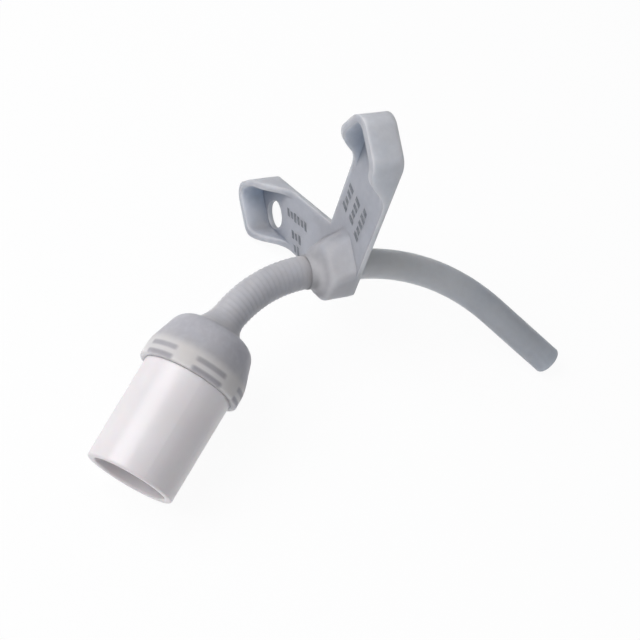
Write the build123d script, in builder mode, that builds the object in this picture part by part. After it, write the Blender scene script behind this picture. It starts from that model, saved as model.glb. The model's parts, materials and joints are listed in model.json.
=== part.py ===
"""A child's cuffless tracheostomy tube with a flexible extension and a hard connector, lying at rest.

The pieces are made in the flange's own frame: X to one wing, Y up the neck, Z out of the neck towards the
connector. The tube passes through the origin along Z. At the end the whole tube is laid on its side, on the
connector's rim, the tip of one wing and the tip of the shaft.
"""
import math
import os

from build123d import *

# Tube
lumen_d = 3.5
shaft_d = 5.3
shaft_first_run = 0.3
shaft_bend_radius = 37.0
shaft_bend_angle = 48.2
shaft_last_run = 15.2
tip_round = 0.5
extension_d = 5.7
extension_first_run = 7.4
extension_bend_radius = 24.6
extension_bend_angle = 46.3
extension_last_run = 6.35

# Hard connector, measured along its axis from the seat of the tube's end
connector_end_d = 15.1
connector_taper = 40.0
connector_length = 21.1
connector_wall = 1.3
connector_floor = 5.0
connector_throat = 0.6
connector_shoulder = 0.4
connector_neck_d = 9.2
socket_depth = 3.5
connector_rim_round = 0.35

# Soft boot over the connector's base
boot_d = 17.7
boot_lip = 3.1
boot_straight = 3.0
boot_length = 6.7
boot_top_d = 13.4
boot_top_round = 3.0
boot_side_round = 8.0
boot_lip_round = 0.35
slot_count = 6
slot_rows = 2
slot_width = 4.9
slot_height = 0.8
slot_depth = 0.7
slot_root = 0.5
slot_first_row = 1.0
slot_row_pitch = 1.65

# Neck flange
plate = 1.0
plate_back = 0.25
wing_angle = 33.6
wing_width = 11.5
notch_y = 7.6
flange_half_width = 26.6
wing_top_run = 7.6
wing_top_rise = 0.9
foot_half_width = 1.37
corner_round = 3.0
knee_round = 4.0
low_corner_round = 2.0
rim_wall = 1.2
rim_height = 4.5
rim_lead = 6.6
rim_ramp_angle = 42.0
rim_ramp_round = 6.0
eyelet_length = 5.2
eyelet_width = 6.2
eyelet_round = 2.4
eyelet_gap = 0.4
eyelet_drop = 2.8
hub_half_width = 4.2
hub_spread = 2.2
hub_top_y = 4.0
hub_front = 5.2
hub_round = 2.4
hub_edge_round = 1.2
collar_length = 2.2
collar_flare = 0.55
collar_wall = 0.15
collar_root_round = 1.4

# How the tube lies: the direction that ends up upwards, turned from X towards Y and then towards Z
lie_turn_angle = 29.62
lie_lift_angle = 4.71


def tube_wire(plane, first_run, radius, angle, last_run):
    """A straight run, a bend and a straight run on a plane, from its origin."""
    turn = math.radians(angle)
    bend_start, bend_middle, bend_end = (
        (first_run + radius * math.sin(share * turn), radius * (1 - math.cos(share * turn)))
        for share in (0, 0.5, 1)
    )
    route_end = (bend_end[0] + last_run * math.cos(turn), bend_end[1] + last_run * math.sin(turn))
    with BuildLine(plane) as route:
        Line((0, 0), bend_start)
        ThreePointArc(bend_start, bend_middle, bend_end)
        Line(bend_end, route_end)
    return route.wire()


def swept_rod(route, diameter):
    """A round rod along a route."""
    with BuildPart() as rod:
        with BuildSketch(Plane(origin=route @ 0, z_dir=route % 0)):
            Circle(diameter / 2)
        sweep(path=route)
    return rod.part


# Routes of the tube's two sides, each from the flange outwards
shaft_plane = Plane(origin=(0, 0, 0), x_dir=(0, 0, -1), z_dir=(-1, 0, 0))
extension_plane = Plane(origin=(0, 0, 0), x_dir=(0, 0, 1), z_dir=(1, 0, 0))
shaft_route = tube_wire(shaft_plane, shaft_first_run, shaft_bend_radius, shaft_bend_angle, shaft_last_run)
extension_route = tube_wire(
    extension_plane, extension_first_run, extension_bend_radius, extension_bend_angle, extension_last_run
)
shaft_rod = swept_rod(shaft_route, shaft_d)
extension_rod = swept_rod(extension_route, extension_d)
shaft_lumen = swept_rod(shaft_route, lumen_d)
extension_lumen = swept_rod(extension_route, lumen_d)

# Silicone tube: the slim curved shaft and the thicker extension, moulded as one
with BuildPart() as shaft:
    add(shaft_rod)
    fillet(shaft.edges().filter_by(GeomType.CIRCLE).sort_by(Axis.Z)[0], tip_round)
    add(extension_rod)
    add(shaft_lumen, mode=Mode.SUBTRACT)
    add(extension_lumen, mode=Mode.SUBTRACT)
shaft.part.label = "shaft"

# The connector's frame: origin at the seat of the tube's end, Z out through the open end
seat = Plane(origin=extension_route @ 1, x_dir=(1, 0, 0), z_dir=extension_route % 1)
connector_axis = Axis(seat.origin, seat.z_dir)
profile_plane = Plane(origin=seat.origin, x_dir=seat.x_dir, z_dir=-seat.y_dir)

# Locking keys: rows of short bars of the boot's silicone that fill slots in the connector's base
end_r = connector_end_d / 2
base_r = end_r + (connector_length + connector_shoulder) / (2 * connector_taper)
bore_r = end_r - connector_wall
key_height = slot_depth + slot_root
key_r = base_r - slot_depth + key_height / 2
with BuildPart() as lock_keys:
    for row in range(slot_rows):
        with Locations(seat.offset(slot_first_row + row * slot_row_pitch)):
            with PolarLocations(key_r, slot_count):
                Box(key_height, slot_width, slot_height)

# Hard connector: a tapered male cone, hollow, with a funnel down to the tube's lumen
with BuildPart() as connector:
    with BuildSketch(profile_plane):
        with BuildLine():
            Polyline(
                (lumen_d / 2, 0),
                (lumen_d / 2, connector_throat),
                (bore_r, connector_floor),
                (bore_r, connector_length),
                (end_r, connector_length),
                (base_r, -connector_shoulder),
                (connector_neck_d / 2, -socket_depth),
                (extension_d / 2, -socket_depth),
                (extension_d / 2, 0),
                close=True,
            )
        make_face()
    revolve(axis=connector_axis)
    rim_edges = connector.edges().filter_by(GeomType.CIRCLE).sort_by(connector_axis)[-2:]
    fillet(rim_edges, connector_rim_round)
    add(lock_keys.part, mode=Mode.SUBTRACT)
connector.part.label = "connector"

# Soft boot: a dome over the connector's base, closed round the tube and keyed into the connector's slots
boot_r = boot_d / 2
with BuildPart() as connector_boot:
    with BuildSketch(profile_plane):
        with BuildLine():
            Polyline(
                (0, boot_lip),
                (boot_r, boot_lip),
                (boot_r, boot_lip - boot_straight),
                (boot_top_d / 2, -boot_length),
                (0, -boot_length),
                close=True,
            )
        make_face()
    revolve(axis=connector_axis)
    fillet(connector_boot.edges().filter_by(GeomType.CIRCLE).sort_by(connector_axis)[0], boot_top_round)
    fillet(connector_boot.edges().filter_by(GeomType.CIRCLE).sort_by(connector_axis)[-2], boot_side_round)
    fillet(connector_boot.edges().filter_by(GeomType.CIRCLE).sort_by(connector_axis)[-1], boot_lip_round)
    with BuildSketch(profile_plane):
        with BuildLine():
            Polyline(
                (0, connector_length),
                (end_r, connector_length),
                (base_r, -connector_shoulder),
                (connector_neck_d / 2, -socket_depth),
                (0, -socket_depth),
                close=True,
            )
        make_face()
    revolve(axis=connector_axis, mode=Mode.SUBTRACT)
    add(extension_rod, mode=Mode.SUBTRACT)
    add(lock_keys.part)
connector_boot.part.label = "connector_boot"

# Neck flange: half the outline, from the notch between the wings round to the foot of the hub
wing_lean = math.radians(wing_angle)
lower_edge_y = notch_y - wing_width / math.cos(wing_lean)
knee_x = flange_half_width - wing_top_run
knee = (knee_x, notch_y + knee_x * math.tan(wing_lean))
top_corner = (flange_half_width, knee[1] + wing_top_rise)
end_corner = (flange_half_width, lower_edge_y + flange_half_width * math.tan(wing_lean))
flange_low_y = lower_edge_y + foot_half_width * math.tan(wing_lean)
low_corner = (foot_half_width, flange_low_y)
back_plane = Plane.XY.offset(-plate_back)
with BuildSketch() as wing_outline:
    with BuildLine():
        Polyline((0, notch_y), knee, top_corner, end_corner, low_corner, (0, flange_low_y), close=True)
    make_face()
    for corner, radius in (
        (knee, knee_round),
        (top_corner, corner_round),
        (end_corner, corner_round),
        (low_corner, low_corner_round),
    ):
        fillet(wing_outline.vertices().sort_by_distance(corner)[0], radius)

# Raised rim round the wing's tip, sloping down along the wing towards the hub
rim_top = plate + rim_height
rim_start = knee[0] * math.cos(wing_lean) + knee[1] * math.sin(wing_lean) - rim_lead
rim_full = rim_start + rim_height / math.tan(math.radians(rim_ramp_angle))
rim_beyond = 2 * flange_half_width
ramp_plane = Plane(
    origin=(0, 0, plate - plate_back),
    x_dir=(math.cos(wing_lean), math.sin(wing_lean), 0),
    z_dir=(math.sin(wing_lean), -math.cos(wing_lean), 0),
)
with BuildPart() as rim:
    with BuildSketch(back_plane):
        add(wing_outline.sketch)
        offset(amount=-rim_wall, mode=Mode.SUBTRACT)
    extrude(amount=rim_top)
    with BuildSketch(ramp_plane) as ramp:
        with BuildLine():
            Polyline(
                (0, 0),
                (rim_start, 0),
                (rim_full, rim_height),
                (rim_beyond, rim_height),
                (rim_beyond, -plate),
                (0, -plate),
                close=True,
            )
        make_face()
        for bend in ((rim_start, 0), (rim_full, rim_height)):
            fillet(ramp.vertices().sort_by_distance(bend)[0], rim_ramp_round)
    extrude(amount=rim_beyond, both=True, mode=Mode.INTERSECT)

eyelet_x = flange_half_width - rim_wall - eyelet_gap - eyelet_width / 2
eyelet_y = (top_corner[1] + end_corner[1]) / 2 - eyelet_drop
with BuildPart() as wing:
    with BuildSketch(back_plane):
        add(wing_outline.sketch)
    extrude(amount=plate)
    add(rim.part)
    with BuildSketch(back_plane):
        with Locations((eyelet_x, eyelet_y)):
            RectangleRounded(eyelet_width, eyelet_length, eyelet_round)
    extrude(amount=rim_top, mode=Mode.SUBTRACT)

# Hub: a block that follows the flange's lower edges, with a collar that flows out along the tube
with BuildPart() as hub:
    for level, spread in ((-plate_back, hub_spread), (hub_front, 0)):
        side_x = hub_half_width + spread
        with BuildSketch(Plane.XY.offset(level)) as section:
            with BuildLine():
                Polyline(
                    (0, hub_top_y + spread),
                    (side_x, hub_top_y + spread),
                    (side_x, lower_edge_y + side_x * math.tan(wing_lean)),
                    low_corner,
                    (0, flange_low_y),
                    close=True,
                )
            make_face()
            mirror(about=Plane.YZ)
            fillet(section.vertices().sort_by(Axis.Y)[-4:], hub_round)
            fillet(section.vertices().sort_by(Axis.Y)[:2], low_corner_round)
    loft(ruled=True)
    fillet(hub.faces().sort_by(Axis.Z)[-1].edges(), hub_edge_round)
    with BuildSketch(Plane.XY):
        Circle(extension_d / 2 + collar_flare)
    with BuildSketch(Plane.XY.offset(hub_front + collar_length)):
        Circle(extension_d / 2 + collar_wall)
    loft()
    collar_root = hub.edges(Select.LAST).filter_by_position(Axis.Z, hub_front - hub_edge_round / 2, hub_front)
    fillet(collar_root, collar_root_round)

with BuildPart() as neck_flange:
    add(wing.part)
    add(mirror(wing.part, about=Plane.YZ))
    add(hub.part)
    add(shaft_rod, mode=Mode.SUBTRACT)
    add(extension_rod, mode=Mode.SUBTRACT)
neck_flange.part.label = "neck_flange"

# Laid at rest: on its side, the connector pointing along X, the middle of its box's foot at the origin
lie_turn = math.radians(lie_turn_angle)
lie_lift = math.radians(lie_lift_angle)
upwards = Vector(
    math.cos(lie_lift) * math.cos(lie_turn),
    math.cos(lie_lift) * math.sin(lie_turn),
    math.sin(lie_lift),
)
table = Plane(origin=(0, 0, 0), x_dir=seat.z_dir - upwards * seat.z_dir.dot(upwards), z_dir=upwards)
pieces = (neck_flange, shaft, connector_boot, connector)
for piece in pieces:
    piece.part.move(table.location.inverse())
boxes = [piece.part.bounding_box() for piece in pieces]
low = [min(getattr(box.min, axis) for box in boxes) for axis in "XYZ"]
high = [max(getattr(box.max, axis) for box in boxes) for axis in "XYZ"]
foot = Location((-(low[0] + high[0]) / 2, -(low[1] + high[1]) / 2, -low[2]))
os.makedirs("parts", exist_ok=True)
for piece in pieces:
    piece.part.move(foot)
    export_step(piece.part, f"parts/{piece.part.label}.step")
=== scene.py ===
import json
import math

import bmesh
import bpy
from mathutils import Matrix, Vector


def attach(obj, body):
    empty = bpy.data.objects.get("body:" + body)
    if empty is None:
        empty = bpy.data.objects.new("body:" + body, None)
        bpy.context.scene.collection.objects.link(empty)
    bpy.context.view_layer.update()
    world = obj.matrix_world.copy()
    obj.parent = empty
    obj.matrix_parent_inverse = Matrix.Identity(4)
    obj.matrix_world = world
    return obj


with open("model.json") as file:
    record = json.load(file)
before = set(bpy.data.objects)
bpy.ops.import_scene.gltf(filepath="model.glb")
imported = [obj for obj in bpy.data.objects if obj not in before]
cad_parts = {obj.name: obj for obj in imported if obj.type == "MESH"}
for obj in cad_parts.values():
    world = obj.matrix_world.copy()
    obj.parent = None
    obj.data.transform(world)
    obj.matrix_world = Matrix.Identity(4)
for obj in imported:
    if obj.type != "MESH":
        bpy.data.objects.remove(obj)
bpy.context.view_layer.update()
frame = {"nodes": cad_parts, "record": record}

nodes = frame["nodes"]
mounts = {mount["name"]: mount for mount in frame["record"]["mounts"]}

# Sizes of the tube, in metres, as in the part
EXTENSION_R = 0.00285
EXTENSION_FIRST_RUN = 0.0074
EXTENSION_BEND_R = 0.0246
EXTENSION_BEND = math.radians(46.3)
EYELET_Y = 0.013495
PLATE_MIDDLE = 0.00025
PLATE_FRONT = 0.00075
WING_ANGLE = math.radians(33.6)
CONE_MIDDLE = 0.01205
CONE_BASE = -0.0004
KEY_COUNT = 6
KEY_HALF_HEIGHT = 0.00040
KEY_HALF_ANGLE = math.radians(18.0)

# What shows through the boot: rows of keys by depth from the tube's seat, and how dark each row is
KEY_ROWS = ((0.00100, 0.32), (0.00265, 0.52))
KEY_BLUR = 0.00025
KEY_BLUR_ANGLE = 0.05
BASE_BLUR = 0.0008
BASE_SHARE = 0.68

# Rings on the extension, and the skin that carries them
RING_PITCH = 0.00092
RING_HEIGHT = 0.00007
RING_FADE = 0.0020
RING_START = 0.0070
RING_SINK = 0.00012
RING_SHARPNESS = 1.5
SKIN_LIFT = 0.00001

# Soft fillet where the extension enters the boot, from start to end along the extension
FLARE_START = 0.0228
FLARE_END = 0.0274
FLARE_WIDTH = 0.0021
FLARE_CURVE = 2.6

# Grey print on each wing: where a row starts and stops along the wing, and its place across it
PRINT_ROWS = {
    1: ((0.0098, 0.0160, 0.0042), (0.0094, 0.0153, 0.0014), (0.0082, 0.0156, -0.0013)),
    -1: ((0.0125, 0.0209, 0.0019), (0.0144, 0.0191, -0.0016), (0.0146, 0.0176, -0.0040)),
}
PRINT_HEIGHT = 0.0016
PRINT_VARIETY = (1.0, 0.72, 0.88)
PRINT_STROKE = 0.00075
PRINT_STEP = 0.00138
PRINT_SLANT = 0.00022
PRINT_LIFT = 0.00003

# Colours of the materials: their light and dark clouds, and what is mixed in
FLANGE_LIGHT = (0.585, 0.585, 0.61, 1)
FLANGE_DARK = (0.53, 0.53, 0.555, 1)
TUBE_LIGHT = (0.66, 0.665, 0.70, 1)
TUBE_DARK = (0.60, 0.605, 0.64, 1)
BOOT_LIGHT = (0.49, 0.482, 0.515, 1)
BOOT_DARK = (0.44, 0.435, 0.47, 1)
PLASTIC_LIGHT = (0.785, 0.75, 0.765, 1)
PLASTIC_DARK = (0.755, 0.72, 0.735, 1)
INK_LIGHT = (0.24, 0.25, 0.27, 1)
INK_DARK = (0.13, 0.14, 0.16, 1)
SPECK_COLOUR = (0.85, 0.86, 0.88, 1)
SCUFF_COLOUR = (0.62, 0.60, 0.61, 1)
BASE_COLOUR = (0.80, 0.79, 0.80, 1)
KEY_COLOUR = (0.22, 0.20, 0.22, 1)
FLOOR_COLOUR = (0.92, 0.92, 0.93, 1)

# Tints that a colour is multiplied by; the flange's front faces and cup-shaped tips and the shaft's tip
# get painted shade, and the shaft's root gets painted light
WHITE = (1, 1, 1, 1)
FRONT_PAINTED_SHADE = (0.62, 0.625, 0.65, 1)
CUP_PAINTED_SHADE = (0.60, 0.63, 0.68, 1)
HUB_TINT = (0.93, 0.92, 0.915, 1)
SHAFT_TIP_PAINTED_SHADE = (0.64, 0.67, 0.70, 1)
SHAFT_ROOT_PAINTED_LIGHT = (1.08, 1.13, 1.19, 1)
EXTENSION_TINT = (0.74, 0.725, 0.72, 1)

# Roughness of each finish
SILICONE_ROUGHNESS = 0.42
TUBE_ROUGHNESS = 0.36
SMOOTHER_BY = 0.06
ROUGHER_BY = 0.08
PLASTIC_ROUGHNESS = (0.30, 0.35)

# Silicone: how fine its clouds, specks, sheen and grain are, and how far light travels in it
CLOUD_SCALE = 140
SPECK_SCALE = 900
SPECK_RANGE = (0.35, 0.75)
SPECK_SHARE = 0.10
SHEEN_SCALE = 420
GRAIN_SCALE = 5200
WAVE_SCALE = 260
WAVE_SHARE = 1.5
SCATTER_DISTANCE = 0.0045
SCATTER_TINT = (0.9, 1.0, 1.1)

# Hard plastic and ink: how fine their clouds, scuffs, sheen and grain are
PLASTIC_CLOUD_SCALE = 90
SCUFF_SCALE = 1700
SCUFF_RANGE = (0.62, 0.78)
SCUFF_SHARE = 0.10
PLASTIC_SHEEN_SCALE = 120
PLASTIC_GRAIN_SCALE = 220
PLASTIC_SCATTER_DISTANCE = 0.0012
INK_FADE_SCALE = 1500
INK_FADE_RANGE = (0.3, 0.75)
INK_GRAIN_SCALE = 4000

# The stretch of a noise in which most of it lies
NOISE_MIDDLE = (0.3, 0.7)

# Depth and strength of the moulded grain, and how far the shading rounds the edges
GRAIN_DEPTH = 0.00002
INK_GRAIN_DEPTH = 0.00001
GRAIN_STRENGTH = 0.5
WING_EDGE = 0.0010
HUB_EDGE = 0.0015
TUBE_EDGE = 0.00035
BOOT_EDGE = 0.0005
CONNECTOR_EDGE = 0.0003

# Heights over the flange where its painted shade on front faces eases off towards the hub, and where its
# scattering stops at the collar
PLATE_FADE = (0.0015, 0.0040)
COLLAR_RISE = (0.0046, 0.0058)

# Distances from the hub to either side where the flange's finish changes, and beyond which the cup-shaped
# tips get painted shade
COLLAR_REACH = (0.004, 0.008)
HUB_REACH = (0.003, 0.009)
HUB_EDGE_REACH = (0.006, 0.010)
CUP_REACH = (0.010, 0.017)

# How much painted shade the flange gets: on faces that look to the front, less of it high on the hub, and
# in the cup-shaped tips by how little open air is found round a point
FRONT_FACING = (0.1, 0.95)
HUB_PAINTED_SHADE_SHARE = 0.75
CUP_DEPTH = 0.009
CUP_OPENNESS = (0.3, 0.98)

# Where the tube's painted shade at the tip turns to painted light by the flange, and where the extension's
# tint begins, by distance in front of the flange
SHAFT_FADE = (-0.034, -0.004)
EXTENSION_FADE = (-0.001, 0.005)

# Where the connector is scuffed, by depth from the tube's seat
WORN_MOUTH = (0.0165, 0.0212)

# White table, and the low wall that closes it at the horizon
FLOOR_SIZE = 8
FLOOR_GAP = 0.00002
FLOOR_GLOW = 0.94
BACKDROP_RADIUS = 3
BACKDROP_HEIGHT = 0.6

# Light from the sky, from its darkest side to its brightest
SKY_COLOUR = (0.94, 0.97, 1.0, 1)
SKY_SPREAD = (-0.9, 0.7)
SKY_STRENGTH = (0.12, 0.46)

# Camera, as the photo shows the tube
CAMERA_AZIMUTH = math.radians(100.78)
CAMERA_ELEVATION = math.radians(53.11)
CAMERA_ROLL = math.radians(18.88)
CAMERA_DISTANCE = 0.2084
CAMERA_FIELD = math.radians(29.63)
CAMERA_NEAR = 0.005
CAMERA_AIM = Vector((-0.00822, -0.00624, 0.01097))

# The flange's own frame, from its two eyelets: X to the upper wing, Y up the neck, Z towards the connector
upper = Vector(mounts["tie_eyelet_upper"]["pos_m"])
lower = Vector(mounts["tie_eyelet_lower"]["pos_m"])
flange_z = Vector(mounts["tie_eyelet_upper"]["axis"]).normalized()
flange_x = (upper - lower).normalized()
flange_y = flange_z.cross(flange_x)
hub = (upper + lower) / 2 - flange_y * EYELET_Y - flange_z * PLATE_MIDDLE

# The connector's axis and the seat of the tube's end in it
cone_axis = Vector(mounts["breathing_connector"]["axis"]).normalized()
seat = Vector(mounts["breathing_connector"]["pos_m"]) - cone_axis * CONE_MIDDLE


class Nodes:
    """Builds a material's nodes, one call for each node."""

    def __init__(self, name):
        self.material = bpy.data.materials.new(name)
        self.material.use_nodes = True
        self.tree = self.material.node_tree
        self.shader = self.tree.nodes["Principled BSDF"]
        self.coordinates = None

    @property
    def place(self):
        """The shaded point, in the object's own frame."""
        if self.coordinates is None:
            self.coordinates = self.add("ShaderNodeTexCoord")
        return self.coordinates.outputs["Object"]

    def add(self, kind, inputs=(), **settings):
        node = self.tree.nodes.new(kind)
        for name, value in settings.items():
            setattr(node, name, value)
        for socket, value in dict(inputs).items():
            self.feed(node.inputs[socket], value)
        return node

    def feed(self, socket, value):
        if isinstance(value, bpy.types.NodeSocket):
            self.tree.links.new(value, socket)
        else:
            socket.default_value = value

    def math(self, operation, first, second=0.0):
        return self.add("ShaderNodeMath", {0: first, 1: second}, operation=operation).outputs[0]

    def dot(self, first, second):
        product = self.add("ShaderNodeVectorMath", {0: first, 1: second}, operation="DOT_PRODUCT")
        return product.outputs["Value"]

    def along(self, origin, direction):
        """Distance of the shaded point from a plane through an origin, along a direction."""
        offset = self.add("ShaderNodeVectorMath", {0: self.place, 1: origin}, operation="SUBTRACT")
        return self.dot(offset.outputs[0], direction)

    def noise(self, scale, detail=3.0, roughness=0.55):
        inputs = {"Vector": self.place, "Scale": scale, "Detail": detail, "Roughness": roughness}
        return self.add("ShaderNodeTexNoise", inputs).outputs["Fac"]

    def ramp(self, value, low, high, to_low=0.0, to_high=1.0):
        """A smooth change from one level to another while a value goes from low to high."""
        inputs = {"Value": value, "From Min": low, "From Max": high, "To Min": to_low, "To Max": to_high}
        return self.add("ShaderNodeMapRange", inputs, interpolation_type="SMOOTHSTEP").outputs["Result"]

    def mix(self, factor, first, second, blend="MIX"):
        """A mix of two colours, whose sockets are known by number: factor 0, colours 6 and 7, result 2."""
        node = self.add("ShaderNodeMix", data_type="RGBA", blend_type=blend)
        for socket, value in zip((0, 6, 7), (factor, first, second)):
            self.feed(node.inputs[socket], value)
        return node.outputs[2]

    def relief(self, height, distance, strength, round_edge=None):
        """Bump by a height, over edges that the shading rounds."""
        inputs = {"Height": height, "Distance": distance, "Strength": strength}
        bump = self.add("ShaderNodeBump", inputs)
        if round_edge is not None:
            bevel = self.add("ShaderNodeBevel", {"Radius": round_edge}, samples=6)
            self.tree.links.new(bevel.outputs["Normal"], bump.inputs["Normal"])
        self.tree.links.new(bump.outputs["Normal"], self.shader.inputs["Normal"])

    def set(self, **values):
        """Set the shader's own sockets, with _ for each space in their names."""
        for name, value in values.items():
            self.feed(self.shader.inputs[name.replace("_", " ")], value)


def silicone(name, light, dark, roughness=SILICONE_ROUGHNESS):
    """Frosted, slightly cloudy silicone with a fine moulded grain."""
    made = Nodes(name)
    cloud = made.ramp(made.noise(CLOUD_SCALE, detail=4.0), *NOISE_MIDDLE)
    speck = made.ramp(made.noise(SPECK_SCALE, detail=2.0), *SPECK_RANGE)
    tint = made.mix(cloud, dark, light)
    dust = made.mix(made.math("MULTIPLY", speck, SPECK_SHARE), tint, SPECK_COLOUR)
    waves = made.math("MULTIPLY", made.noise(WAVE_SCALE), WAVE_SHARE)
    grain = made.math("ADD", made.noise(GRAIN_SCALE, detail=2.0), waves)
    smooth = roughness - SMOOTHER_BY
    rough = roughness + ROUGHER_BY
    sheen = made.ramp(made.noise(SHEEN_SCALE), *NOISE_MIDDLE, smooth, rough)
    made.set(Roughness=sheen, IOR=1.41, Specular_IOR_Level=0.42)
    made.set(Subsurface_Weight=1.0, Subsurface_Scale=SCATTER_DISTANCE, Subsurface_Radius=SCATTER_TINT)
    return made, dust, grain


def flange_silicone():
    """Silicone with painted shade on faces that look to the front and up the neck, so that its walls show
    paler than its plate, and painted shade in its cup-shaped tips.
    """
    made, tint, grain = silicone("flange_silicone", FLANGE_LIGHT, FLANGE_DARK)
    # Painted shade on faces that look to the front and up the neck, less of it high on the hub
    front = (flange_z * 0.8 + flange_y * 0.6).normalized()
    facing = made.dot(made.add("ShaderNodeNewGeometry").outputs["Normal"], front)
    height = made.along(hub, flange_z)
    from_hub = made.math("ABSOLUTE", made.along(hub, flange_x))
    on_plate = made.ramp(height, *PLATE_FADE, 1, HUB_PAINTED_SHADE_SHARE)
    painted_front_shade = made.math("MULTIPLY", made.ramp(facing, *FRONT_FACING), on_plate)
    front_shaded_tint = made.mix(painted_front_shade, tint, made.mix(1.0, tint, FRONT_PAINTED_SHADE, "MULTIPLY"))
    # Painted shade in the cup-shaped tips, where little open air is found round a point
    open_air = made.add("ShaderNodeAmbientOcclusion", {"Distance": CUP_DEPTH}, samples=6).outputs["AO"]
    painted_hollow_shade = made.ramp(open_air, *CUP_OPENNESS, 1, 0)
    painted_cup_shade = made.math("MULTIPLY", painted_hollow_shade, made.ramp(from_hub, *CUP_REACH))
    wing_painted_shade = made.mix(painted_cup_shade, WHITE, CUP_PAINTED_SHADE)
    # The hub's own tint near the hub, and the tips' painted shade further out
    level = made.mix(made.ramp(from_hub, *HUB_REACH), HUB_TINT, wing_painted_shade)
    made.set(Base_Color=made.mix(1.0, front_shaded_tint, level, "MULTIPLY"))
    near_hub = made.ramp(from_hub, *COLLAR_REACH, 1, 0)
    collar = made.math("MULTIPLY", made.ramp(height, *COLLAR_RISE), near_hub)
    made.set(Subsurface_Weight=made.math("SUBTRACT", 1.0, collar))
    edge = made.ramp(from_hub, *HUB_EDGE_REACH, HUB_EDGE, WING_EDGE)
    made.relief(grain, GRAIN_DEPTH, GRAIN_STRENGTH, edge)
    return made.material


def tube_silicone():
    """Silicone with painted light next to the flange and painted shade towards the tip, and darker in the
    extension.
    """
    made, tint, grain = silicone("tube_silicone", TUBE_LIGHT, TUBE_DARK, TUBE_ROUGHNESS)
    distance = made.along(hub, flange_z)
    # Painted light next to the flange, where the flange's shadow falls, and painted shade towards the tip
    shaft_painted_light_and_shade = made.mix(made.ramp(distance, *SHAFT_FADE), SHAFT_TIP_PAINTED_SHADE, SHAFT_ROOT_PAINTED_LIGHT)
    level = made.mix(made.ramp(distance, *EXTENSION_FADE), shaft_painted_light_and_shade, EXTENSION_TINT)
    made.set(Base_Color=made.mix(1.0, tint, level, "MULTIPLY"))
    made.relief(grain, GRAIN_DEPTH, GRAIN_STRENGTH, TUBE_EDGE)
    return made.material


def boot_silicone():
    """Silicone over the white base of the connector, which shows through round the grey locking keys."""
    made, tint, grain = silicone("boot_silicone", BOOT_LIGHT, BOOT_DARK)
    out = cone_axis.cross(flange_x)
    depth = made.along(seat, cone_axis)
    angle = made.math("ARCTAN2", made.along(seat, out), made.along(seat, flange_x))
    from_key = made.math("PINGPONG", angle, math.pi / KEY_COUNT)
    column = made.ramp(from_key, KEY_HALF_ANGLE - KEY_BLUR_ANGLE, KEY_HALF_ANGLE + KEY_BLUR_ANGLE, 1, 0)
    in_row = 0.0
    darkness = 0.0
    for middle, shade in KEY_ROWS:
        off = made.math("ABSOLUTE", made.math("SUBTRACT", depth, middle))
        row = made.ramp(off, KEY_HALF_HEIGHT - KEY_BLUR, KEY_HALF_HEIGHT + KEY_BLUR, 1, 0)
        in_row = made.math("MAXIMUM", row, in_row)
        darkness = made.math("MAXIMUM", made.math("MULTIPLY", row, shade), darkness)
    keys = made.math("MULTIPLY", column, in_row)
    base = made.ramp(depth, CONE_BASE - BASE_BLUR, CONE_BASE + BASE_BLUR)
    white = made.math("MULTIPLY", base, made.math("SUBTRACT", 1.0, keys))
    banded = made.mix(made.math("MULTIPLY", white, BASE_SHARE), tint, BASE_COLOUR)
    made.set(Base_Color=made.mix(made.math("MULTIPLY", column, darkness), banded, KEY_COLOUR))
    made.relief(grain, GRAIN_DEPTH, GRAIN_STRENGTH, BOOT_EDGE)
    return made.material


def connector_plastic():
    """Hard white moulded plastic, a little cloudy, with fine scuffs towards its mouth."""
    made = Nodes("connector_plastic")
    cloud = made.ramp(made.noise(PLASTIC_CLOUD_SCALE), *NOISE_MIDDLE)
    tint = made.mix(cloud, PLASTIC_DARK, PLASTIC_LIGHT)
    scuff = made.ramp(made.noise(SCUFF_SCALE, detail=4.0, roughness=0.7), *SCUFF_RANGE)
    worn = made.ramp(made.along(seat, cone_axis), *WORN_MOUTH)
    marks = made.math("MULTIPLY", made.math("MULTIPLY", scuff, worn), SCUFF_SHARE)
    made.set(Base_Color=made.mix(marks, tint, SCUFF_COLOUR))
    sheen = made.noise(PLASTIC_SHEEN_SCALE, detail=2.0)
    made.set(Roughness=made.ramp(sheen, *NOISE_MIDDLE, *PLASTIC_ROUGHNESS))
    made.set(Subsurface_Weight=0.12, Subsurface_Scale=PLASTIC_SCATTER_DISTANCE, IOR=1.5)
    made.set(Coat_Weight=0.15, Coat_Roughness=0.2)
    grain = made.noise(PLASTIC_GRAIN_SCALE, detail=2.0)
    made.relief(grain, GRAIN_DEPTH, GRAIN_STRENGTH / 2, CONNECTOR_EDGE)
    return made.material


def print_ink():
    """Grey ink, a little worn."""
    made = Nodes("print_ink")
    fade = made.ramp(made.noise(INK_FADE_SCALE), *INK_FADE_RANGE)
    made.set(Base_Color=made.mix(fade, INK_DARK, INK_LIGHT), Roughness=0.6)
    made.relief(made.noise(INK_GRAIN_SCALE), INK_GRAIN_DEPTH, strength=0.4)
    return made.material


def white_floor():
    """A white table that the camera and reflections see brighter than its light makes it."""
    made = Nodes("white_floor")
    made.set(Base_Color=FLOOR_COLOUR, Roughness=0.9)
    rays = made.add("ShaderNodeLightPath").outputs
    seen = made.math("MAXIMUM", rays["Is Camera Ray"], rays["Is Glossy Ray"])
    seen = made.math("MAXIMUM", seen, rays["Is Transmission Ray"])
    glow = made.add("ShaderNodeEmission", {"Color": WHITE}).outputs[0]
    share = made.math("MULTIPLY", seen, FLOOR_GLOW)
    mixed = made.add("ShaderNodeMixShader", {0: share, 1: made.shader.outputs[0], 2: glow})
    made.feed(made.tree.nodes["Material Output"].inputs["Surface"], mixed.outputs[0])
    return made.material


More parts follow.
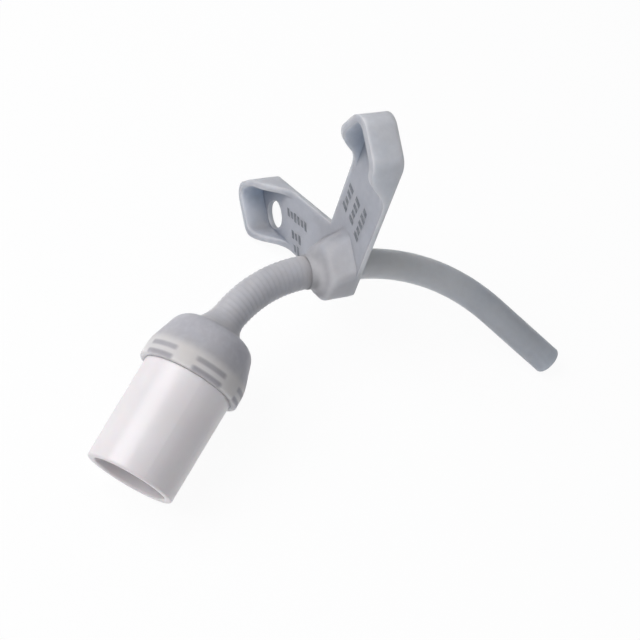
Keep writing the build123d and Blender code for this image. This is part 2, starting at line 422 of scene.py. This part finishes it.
def link(name, mesh, material):
    """A new piece on the tube's one body."""
    piece = bpy.data.objects.new(name, mesh)
    bpy.context.scene.collection.objects.link(piece)
    mesh.materials.append(material)
    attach(piece, "root")


def extension_frame(distance):
    """Centre and upward side of the extension at a distance along it from the flange."""
    turn = min(max((distance - EXTENSION_FIRST_RUN) / EXTENSION_BEND_R, 0), EXTENSION_BEND)
    before = min(distance, EXTENSION_FIRST_RUN)
    after = max(distance - EXTENSION_FIRST_RUN - EXTENSION_BEND_R * EXTENSION_BEND, 0)
    along = before + EXTENSION_BEND_R * math.sin(turn) + after * math.cos(turn)
    down = EXTENSION_BEND_R * (1 - math.cos(turn)) + after * math.sin(turn)
    centre = hub + flange_z * along - flange_y * down
    rise = flange_y * math.cos(turn) + flange_z * math.sin(turn)
    return centre, rise


def extension_skin(steps_per_ring=8, segments=72):
    """The extension's skin: one low spiral ridge runs round it, and it widens softly towards the boot."""
    mesh = bpy.data.meshes.new("extension_rings")
    shape = bmesh.new()
    count = round((FLARE_END - RING_START) / RING_PITCH * steps_per_ring)
    loops = []
    for step in range(count + 1):
        distance = RING_START + (FLARE_END - RING_START) * step / count
        centre, rise = extension_frame(distance)
        flare = max((distance - FLARE_START) / (FLARE_END - FLARE_START), 0)
        ridge = RING_HEIGHT * min((distance - RING_START) / RING_FADE, 1) * (1 - flare) ** 2
        sink = RING_SINK if step == 0 else -SKIN_LIFT
        loop = []
        for segment in range(segments):
            angle = math.tau * segment / segments
            wave = 0.5 + 0.5 * math.cos(math.tau * distance / RING_PITCH - angle)
            lift = ridge * wave ** RING_SHARPNESS + FLARE_WIDTH * flare ** FLARE_CURVE
            radius = EXTENSION_R - sink + lift
            spot = centre + (rise * math.cos(angle) + flange_x * math.sin(angle)) * radius
            loop.append(shape.verts.new(spot))
        loops.append(loop)
    for first, second in zip(loops, loops[1:]):
        for segment in range(segments):
            after = (segment + 1) % segments
            shape.faces.new((first[segment], first[after], second[after], second[segment]))
    bmesh.ops.recalc_face_normals(shape, faces=shape.faces)
    shape.to_mesh(mesh)
    shape.free()
    for polygon in mesh.polygons:
        polygon.use_smooth = True
    return mesh


def wing_print():
    """Rows of plain slanted strokes on the wings."""
    mesh = bpy.data.meshes.new("wing_print")
    shape = bmesh.new()
    for side, rows in PRINT_ROWS.items():
        forward = flange_x * side * math.cos(WING_ANGLE) + flange_y * math.sin(WING_ANGLE)
        over = flange_y * math.cos(WING_ANGLE) - flange_x * side * math.sin(WING_ANGLE)
        for start, stop, across in rows:
            count = int((stop - start) / PRINT_STEP)
            for stroke in range(count):
                tall = PRINT_HEIGHT * PRINT_VARIETY[stroke % len(PRINT_VARIETY)]
                middle = hub + forward * (start + PRINT_STEP * (stroke + 0.5)) + over * across
                low = middle + flange_z * (PLATE_FRONT - PRINT_LIFT)
                high = middle + flange_z * (PLATE_FRONT + PRINT_LIFT)
                corners = []
                for level in (low, high):
                    for x, y in ((-1, -1), (1, -1), (1, 1), (-1, 1)):
                        shift = forward * (x * PRINT_STROKE / 2 + y * PRINT_SLANT) + over * (y * tall / 2)
                        corners.append(shape.verts.new(level + shift))
                shape.faces.new(corners[4:])
                for edge in range(4):
                    after = (edge + 1) % 4
                    shape.faces.new((corners[edge], corners[after], corners[4 + after], corners[4 + edge]))
    bmesh.ops.recalc_face_normals(shape, faces=shape.faces)
    shape.to_mesh(mesh)
    shape.free()
    return mesh


def lay_table():
    """The table, and the wall round it."""
    finish = white_floor()
    bpy.ops.mesh.primitive_plane_add(size=FLOOR_SIZE, location=(0, 0, -FLOOR_GAP))
    floor = bpy.context.object
    floor.name = "floor"
    bpy.ops.mesh.primitive_cylinder_add(
        vertices=96,
        radius=BACKDROP_RADIUS,
        depth=BACKDROP_HEIGHT,
        end_fill_type="NOTHING",
        location=(0, 0, BACKDROP_HEIGHT / 2 - FLOOR_GAP),
    )
    backdrop = bpy.context.object
    backdrop.name = "backdrop"
    for surface in (floor, backdrop):
        surface.data.materials.append(finish)


def camera_axes():
    """The camera's right, up and backward directions."""
    level = math.cos(CAMERA_ELEVATION)
    back = Vector((
        math.sin(CAMERA_AZIMUTH) * level,
        -math.cos(CAMERA_AZIMUTH) * level,
        math.sin(CAMERA_ELEVATION),
    ))
    level_right = Vector((math.cos(CAMERA_AZIMUTH), math.sin(CAMERA_AZIMUTH), 0))
    level_up = back.cross(level_right)
    right = level_right * math.cos(CAMERA_ROLL) + level_up * math.sin(CAMERA_ROLL)
    return right, back.cross(right), back


def graded_sky(brightest):
    """Soft light from all round, strongest from one direction."""
    world = bpy.data.worlds.new("studio")
    bpy.context.scene.world = world
    world.use_nodes = True
    tree = world.node_tree
    background = tree.nodes["Background"]
    background.inputs["Color"].default_value = SKY_COLOUR
    way = tree.nodes.new("ShaderNodeTexCoord")
    lean = tree.nodes.new("ShaderNodeVectorMath")
    lean.operation = "DOT_PRODUCT"
    lean.inputs[1].default_value = brightest.normalized()
    spread = tree.nodes.new("ShaderNodeMapRange")
    for socket, value in zip(("From Min", "From Max", "To Min", "To Max"), SKY_SPREAD + SKY_STRENGTH):
        spread.inputs[socket].default_value = value
    tree.links.new(way.outputs["Generated"], lean.inputs[0])
    tree.links.new(lean.outputs["Value"], spread.inputs["Value"])
    tree.links.new(spread.outputs["Result"], background.inputs["Strength"])


def soft_light(name, direction, distance, size, power, colour):
    """A square soft box that looks at the tube."""
    data = bpy.data.lights.new(name, "AREA")
    data.size = size
    data.energy = power
    data.color = colour
    lamp = bpy.data.objects.new(name, data)
    lamp.location = CAMERA_AIM + direction.normalized() * distance
    lamp.rotation_euler = direction.to_track_quat("Z", "Y").to_euler()
    bpy.context.scene.collection.objects.link(lamp)


def aim_camera(right, up, back):
    """The camera, at its distance from the tube."""
    camera = bpy.data.objects.new("camera", bpy.data.cameras.new("camera"))
    camera.data.angle = CAMERA_FIELD
    camera.data.clip_start = CAMERA_NEAR
    axes = Matrix((right, up, back)).transposed().to_4x4()
    camera.matrix_world = Matrix.Translation(CAMERA_AIM + back * CAMERA_DISTANCE) @ axes
    bpy.context.scene.collection.objects.link(camera)
    bpy.context.scene.camera = camera


# Finishes on the solids, and the added pieces
tube_finish = tube_silicone()
for name, finish in (
    ("neck_flange", flange_silicone()),
    ("shaft", tube_finish),
    ("connector_boot", boot_silicone()),
    ("connector", connector_plastic()),
):
    slots = nodes[name].data.materials
    slots.clear()
    slots.append(finish)
link("extension_rings", extension_skin(), tube_finish)
link("wing_print", wing_print(), print_ink())

# Table, light and camera
lay_table()
right, up, back = camera_axes()
sky_side = up * 0.4 - right * 0.9
key_side = up * 0.5 - right * 0.45 + back * 0.7
fill_side = back * 0.9 + right * 0.2 - up * 0.1
graded_sky(sky_side)
soft_light("key", key_side, distance=0.5, size=0.36, power=1.75, colour=(1.0, 0.985, 0.985))
soft_light("fill", fill_side, distance=0.6, size=0.5, power=0.5, colour=(0.95, 0.97, 1.0))
aim_camera(right, up, back)
bpy.context.scene.view_settings.view_transform = "Standard"

bpy.context.view_layer.update()
